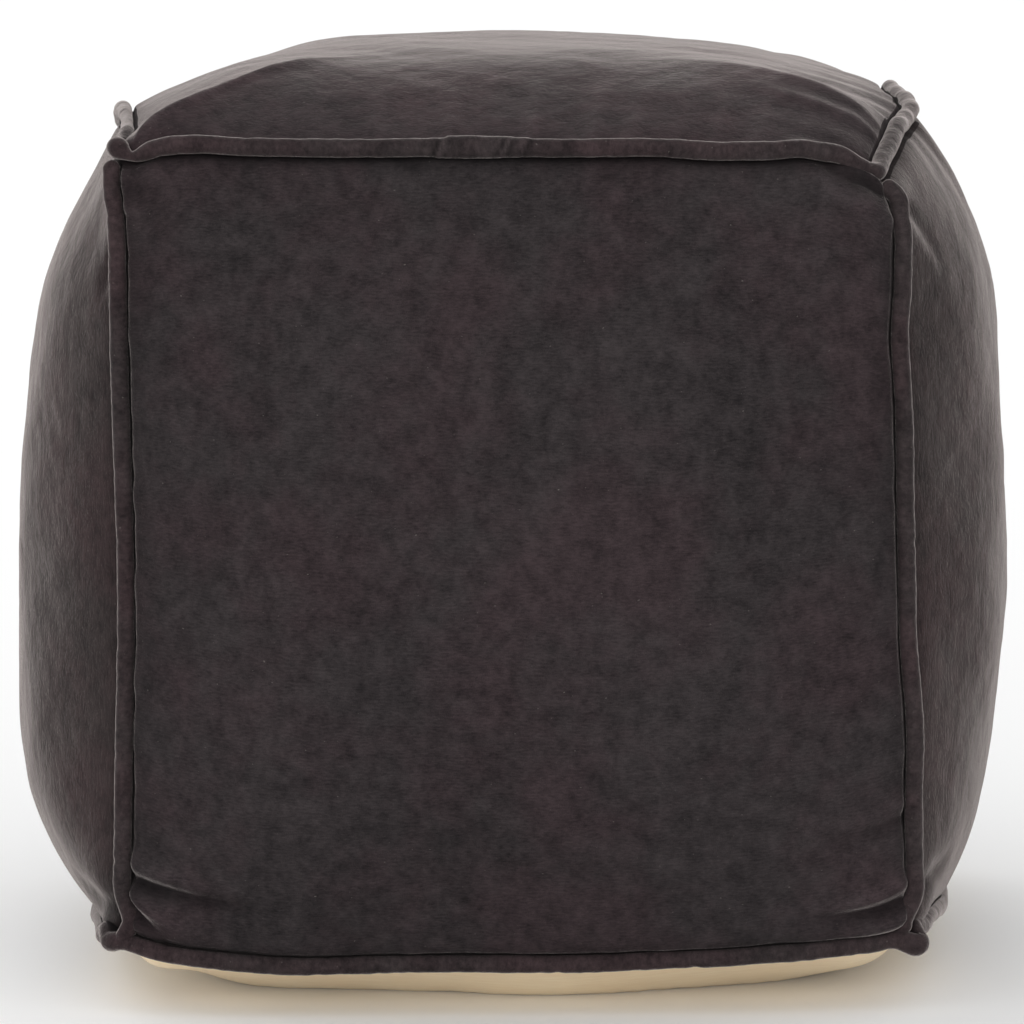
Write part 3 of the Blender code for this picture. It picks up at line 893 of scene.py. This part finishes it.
def addMix(tree, blend, share, first, second):
    made = tree.nodes.new("ShaderNodeMix")
    made.data_type, made.blend_type = "RGBA", blend
    for number, value in ((0, share), (6, first), (7, second)):
        if isinstance(value, bpy.types.NodeSocket):
            tree.links.new(value, made.inputs[number])
        else:
            made.inputs[number].default_value = value
    return made.outputs[2]


def addNoise(tree, vector, scale, detail, roughness=0.5):
    return addNode(tree, "TexNoise", Vector=vector, Scale=scale, Detail=detail,
                   Roughness=roughness)


# Noise drawn out by a different number of marks a metre each way.
def addMarks(tree, vector, marks, detail, roughness=0.5):
    stretched = addNode(tree, "Mapping", Vector=vector, Scale=marks)
    return addNoise(tree, stretched, 1.0, detail, roughness)


def addRamp(tree, tone, low, high):
    ramp = addNode(tree, "ValToRGB", Fac=tone)
    for stop, (position, colour) in zip(ramp.node.color_ramp.elements, (low, high)):
        stop.position, stop.color = position, colour
    return ramp


# Bump of a height field: its strength and distance, then other inputs.
def addBump(tree, height, bump, **inputs):
    return addNode(tree, "Bump", Height=height, Strength=bump[0], Distance=bump[1], **inputs)


def startMaterial(name):
    material = bpy.data.materials.new(name)
    material.use_nodes = True
    tree = material.node_tree
    place = tree.nodes.new("ShaderNodeTexCoord").outputs["Object"]
    return material, tree, tree.nodes["Principled BSDF"], place


def setValues(shader, values):
    for name, value in values.items():
        shader.inputs[name].default_value = value


velvet = {
    "dark": (0.0110, 0.0089, 0.0092, 1),
    "light": (0.0410, 0.0325, 0.0330, 1),
    "redCast": (0.60, (1.00, 0.865, 0.90, 1)),  # from this tone of the cast noise on
    "coolCast": (0.42, (0.92, 0.93, 0.93, 1)),  # up to this one
    "lint": (0.15, 0.135, 0.125, 1),  # sparse specks
    "lintMarks": (520, 700, 1),  # places for a speck, a metre
    "lintFrom": (0.775, 0.80),  # tones between which a place becomes a speck
    "lintShare": 0.5,
    "sheen": 0.75,
    "pipingSheen": 1.0,
    "seamSheen": 0.05,  # painted shade: sheen on the flanks beside the seams
    "finish": {"Roughness": 0.95, "Specular IOR Level": 0.12, "Sheen Roughness": 0.27,
               "Sheen Tint": (0.82, 0.74, 0.71, 1)},
    # scale, detail and roughness of the noises
    "drift": (7.0, 2.0),
    "crushed": (105.0, 5.0, 0.74),
    "cast": (15.0, 4.0, 0.6),
    # their shares of the tone
    "shares": {"crushed": 1.9, "drift": 0.6, "fuzz": 1.0},
    "fuzz": (2300, 1500, 1),  # tufts a metre
    # bumps: strength, distance
    "napBump": (0.55, 0.0006),
    "crushedBump": (0.25, 0.003),
    # nap marks a metre, across and up, how much of the colour and of the bump they make, tint
    "naps": {
        "nap across": ((300, 1100, 1), 1.2, 0.4, (1.06, 1.10, 1.12, 1)),
        # the top's lighter tint is painted light: the top reads brighter, as light from above
        # falls on it
        "nap across, top": ((260, 800, 1), 0.65, 0.24, (1.28, 1.21, 1.26, 1)),
        "nap up": ((760, 130, 1), 1.05, 0.5, (1.15, 1.08, 1.05, 1)),
        "piping": ((300, 420, 1), 1.2, 0.6, (1.20, 1.17, 1.17, 1)),
    },
}


def makeVelvet(nap, settings, sheen):
    marks, colourShare, bumpShare, tint = settings["naps"][nap]
    material, tree, shader, place = startMaterial(f"charcoal velvet, {nap}, {sheen}")
    cloth = addNode(tree, "UVMap", {"uv_map": "cloth"})
    drift = addNoise(tree, place, *settings["drift"])
    crushed = addNoise(tree, place, *settings["crushed"])
    streak = addMarks(tree, cloth, marks, 3.0, 0.6)
    fuzz = addMarks(tree, cloth, settings["fuzz"], 3.0, 0.65)

    def centred(field, share):
        return addMath(tree, "MULTIPLY", addMath(tree, "SUBTRACT", field, 0.5), share)
    shares = settings["shares"]
    tone = addMath(tree, "ADD", centred(crushed, shares["crushed"]), 0.5)
    for field, share in ((drift, shares["drift"]), (streak, colourShare), (fuzz, shares["fuzz"])):
        tone = addMath(tree, "ADD", tone, centred(field, share))
    colour = addRamp(tree, tone, (0.0, settings["dark"]), (1.0, settings["light"]))
    casts = addRamp(tree, addNoise(tree, place, *settings["cast"]),
                    settings["coolCast"], settings["redCast"])
    for tinting in (casts, tint):
        colour = addMix(tree, "MULTIPLY", 1.0, colour, tinting)
    few, many = settings["lintFrom"]
    specks = addNode(tree, "MapRange", {"clamp": True}, i1=few, i2=many,
                     Value=addMarks(tree, cloth, settings["lintMarks"], 1.0))
    specks = addMath(tree, "MULTIPLY", specks, settings["lintShare"])
    colour = addMix(tree, "MIX", specks, colour, settings["lint"])
    # painted shade and light from the shade attribute: darker in the seams' grooves, the fold
    # troughs and outside the lap's step, lighter on fold ridges and inside the step
    shade = addNode(tree, "Attribute", {"attribute_name": "shade"}).node.outputs["Fac"]
    colour = addMix(tree, "MULTIPLY", 1.0, colour, addMath(tree, "SUBTRACT", 1.0, shade))
    tree.links.new(colour, shader.inputs["Base Color"])
    height = addMath(tree, "ADD", addMath(tree, "MULTIPLY", streak, bumpShare),
                     addMath(tree, "MULTIPLY", fuzz, 0.5))
    bump = addBump(tree, height, settings["napBump"])
    bump = addBump(tree, crushed, settings["crushedBump"], Normal=bump)
    tree.links.new(bump, shader.inputs["Normal"])
    setValues(shader, settings["finish"] | {"Sheen Weight": settings[sheen]})
    return material


canvas = {
    "dark": (0.25, (0.84, 0.66, 0.43, 1)),  # up to this tone
    "light": (0.75, (0.95, 0.81, 0.58, 1)),  # from this one
    "threads": 950,  # threads a metre
    "slubs": (60, 900, 200),  # thicker places in the threads, a metre
    "cloud": (25.0, 3.0),  # scale and detail of the blotches
    "shares": (0.12, 0.6, 0.4),  # of weave, slubs and blotches in the tone
    "bump": (0.4, 0.0003),
    "finish": {"Roughness": 0.9, "Specular IOR Level": 0.2, "Sheen Weight": 0.15},
}


def makeCanvas():
    material, tree, shader, place = startMaterial("natural canvas")
    split = addNode(tree, "SeparateXYZ", Vector=place)
    pitch = canvas["threads"] * 2 * math.pi
    sines = []
    for axis in (0, 1):
        turned = addMath(tree, "MULTIPLY", split.node.outputs[axis], pitch)
        sines.append(addMath(tree, "SINE", turned))
    weave = addMath(tree, "MULTIPLY", *sines)
    slubs = addMarks(tree, place, canvas["slubs"], 3.0)
    cloud = addNoise(tree, place, *canvas["cloud"])
    weaveTone, slubTone, cloudTone = (addMath(tree, "MULTIPLY", field, share) for field, share
                                      in zip((weave, slubs, cloud), canvas["shares"]))
    tone = addMath(tree, "ADD", weaveTone, addMath(tree, "ADD", slubTone, cloudTone))
    colour = addRamp(tree, tone, canvas["dark"], canvas["light"])
    tree.links.new(colour, shader.inputs["Base Color"])
    height = addMath(tree, "ADD", addMath(tree, "MULTIPLY", weave, 0.5), slubs)
    tree.links.new(addBump(tree, height, canvas["bump"]), shader.inputs["Normal"])
    setValues(shader, canvas["finish"])
    return material


# Each velvet comes twice: as it is, and as a shaded copy with hardly any sheen for the flanks of
# the seams, painted shade for their groove.
velvetAcross, velvetTop, velvetUp, pipingFinish = (
    [makeVelvet(nap, velvet, sheen)
     for sheen in ("pipingSheen" if nap == "piping" else "sheen", "seamSheen")]
    for nap in velvet["naps"])
panelFinishes = {"top": velvetTop, "front": velvetAcross, "back": velvetAcross,
                 "left": velvetUp, "right": velvetUp}
canvasFinish = [makeCanvas()]
print("materials ready")


def install(obj, node, finishes):
    for material in finishes:
        obj.data.materials.append(material)
    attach(obj, "root")
    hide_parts(node)
    return obj


outerFaces = makeOuterFaces()
print("panels shaped")
stuffed = install(makeStuffedCube(outerFaces), "stuffed_body", canvasFinish)
for name, face in outerFaces.items():
    if name != "base":
        panel, flat = makeVelvetPanel(name, face)
        install(panel, name + "_panel", panelFinishes[name])
print("panels and stuffed cube made")
for name, level in (("top", 1), ("base", -1)):
    install(makeRing(name, level), name + "_piping", pipingFinish)
for depth, depthWord in ((-1, "front"), (1, "back")):
    for side, sideWord in ((-1, "left"), (1, "right")):
        node = f"upright_piping_{depthWord}_{sideWord}"
        install(makeUpright(side, depth), node, pipingFinish)
print("pipings made")


# Studio: a pale floor, an even white surround and soft lights.
studio = {
    "floor": {"Base Color": (0.95, 0.95, 0.95, 1), "Roughness": 0.9},
    "half": 40,  # half the floor's width, metres
    "surround": 0.70,
    # broad soft suns: name, watts, how wide (degrees), turned about x and y (degrees)
    "lights": (
        ("front high", 0.6, 110, 38, -14),
        ("front low", 1.5, 50, 84, -14),
        ("back high", 1.1, 60, -55, -50),
    ),
}


def makeStudio():
    mesh = bpy.data.meshes.new("floor")
    half = studio["half"]
    corners = ((-half, -half, 0), (half, -half, 0), (half, half, 0), (-half, half, 0))
    mesh.from_pydata(corners, [], [(0, 1, 2, 3)])
    floor = addObject("floor", mesh)
    pale = bpy.data.materials.new("pale floor")
    pale.use_nodes = True
    setValues(pale.node_tree.nodes["Principled BSDF"], studio["floor"])
    mesh.materials.append(pale)
    world = bpy.data.worlds.new("surround")
    scene.world = world
    world.use_nodes = True
    setValues(world.node_tree.nodes["Background"],
              {"Color": (1, 1, 1, 1), "Strength": studio["surround"]})
    for name, watts, wide, aboutX, aboutY in studio["lights"]:
        lamp = bpy.data.lights.new(name, "SUN")
        lamp.energy, lamp.angle = watts, math.radians(wide)
        turned = (math.radians(aboutX), math.radians(aboutY), 0)
        addObject(name, lamp).rotation_euler = turned


# The photograph's view: from the front, a little to the right and from above.
view = {
    "target": (0.0, 0.0, 0.199),
    "distance": 3.0,
    "turn": -1.876,  # degrees
    "down": 7.19,
    "roll": -0.683,
    "lens": 227.8,  # with the sensor's width, millimetres
    "sensor": 36,
}


def makeCamera():
    turn, down, roll = (math.radians(view[key]) for key in ("turn", "down", "roll"))
    level = math.cos(down)
    forward = Vector((math.sin(turn) * level, math.cos(turn) * level, -math.sin(down)))
    right = forward.cross(Vector((0, 0, 1))).normalized()
    up = right.cross(forward)
    right, up = (math.cos(roll) * right + math.sin(roll) * up,
                 -math.sin(roll) * right + math.cos(roll) * up)
    data = bpy.data.cameras.new("camera")
    data.lens, data.sensor_width = view["lens"], view["sensor"]
    camera = addObject("camera", data)
    axes = Matrix((right, up, -forward)).transposed().to_4x4()
    eye = Vector(view["target"]) - forward * view["distance"]
    camera.matrix_world = Matrix.Translation(eye) @ axes
    scene.camera = camera


makeStudio()
makeCamera()
scene.view_settings.view_transform = "Standard"
print("studio and camera ready")
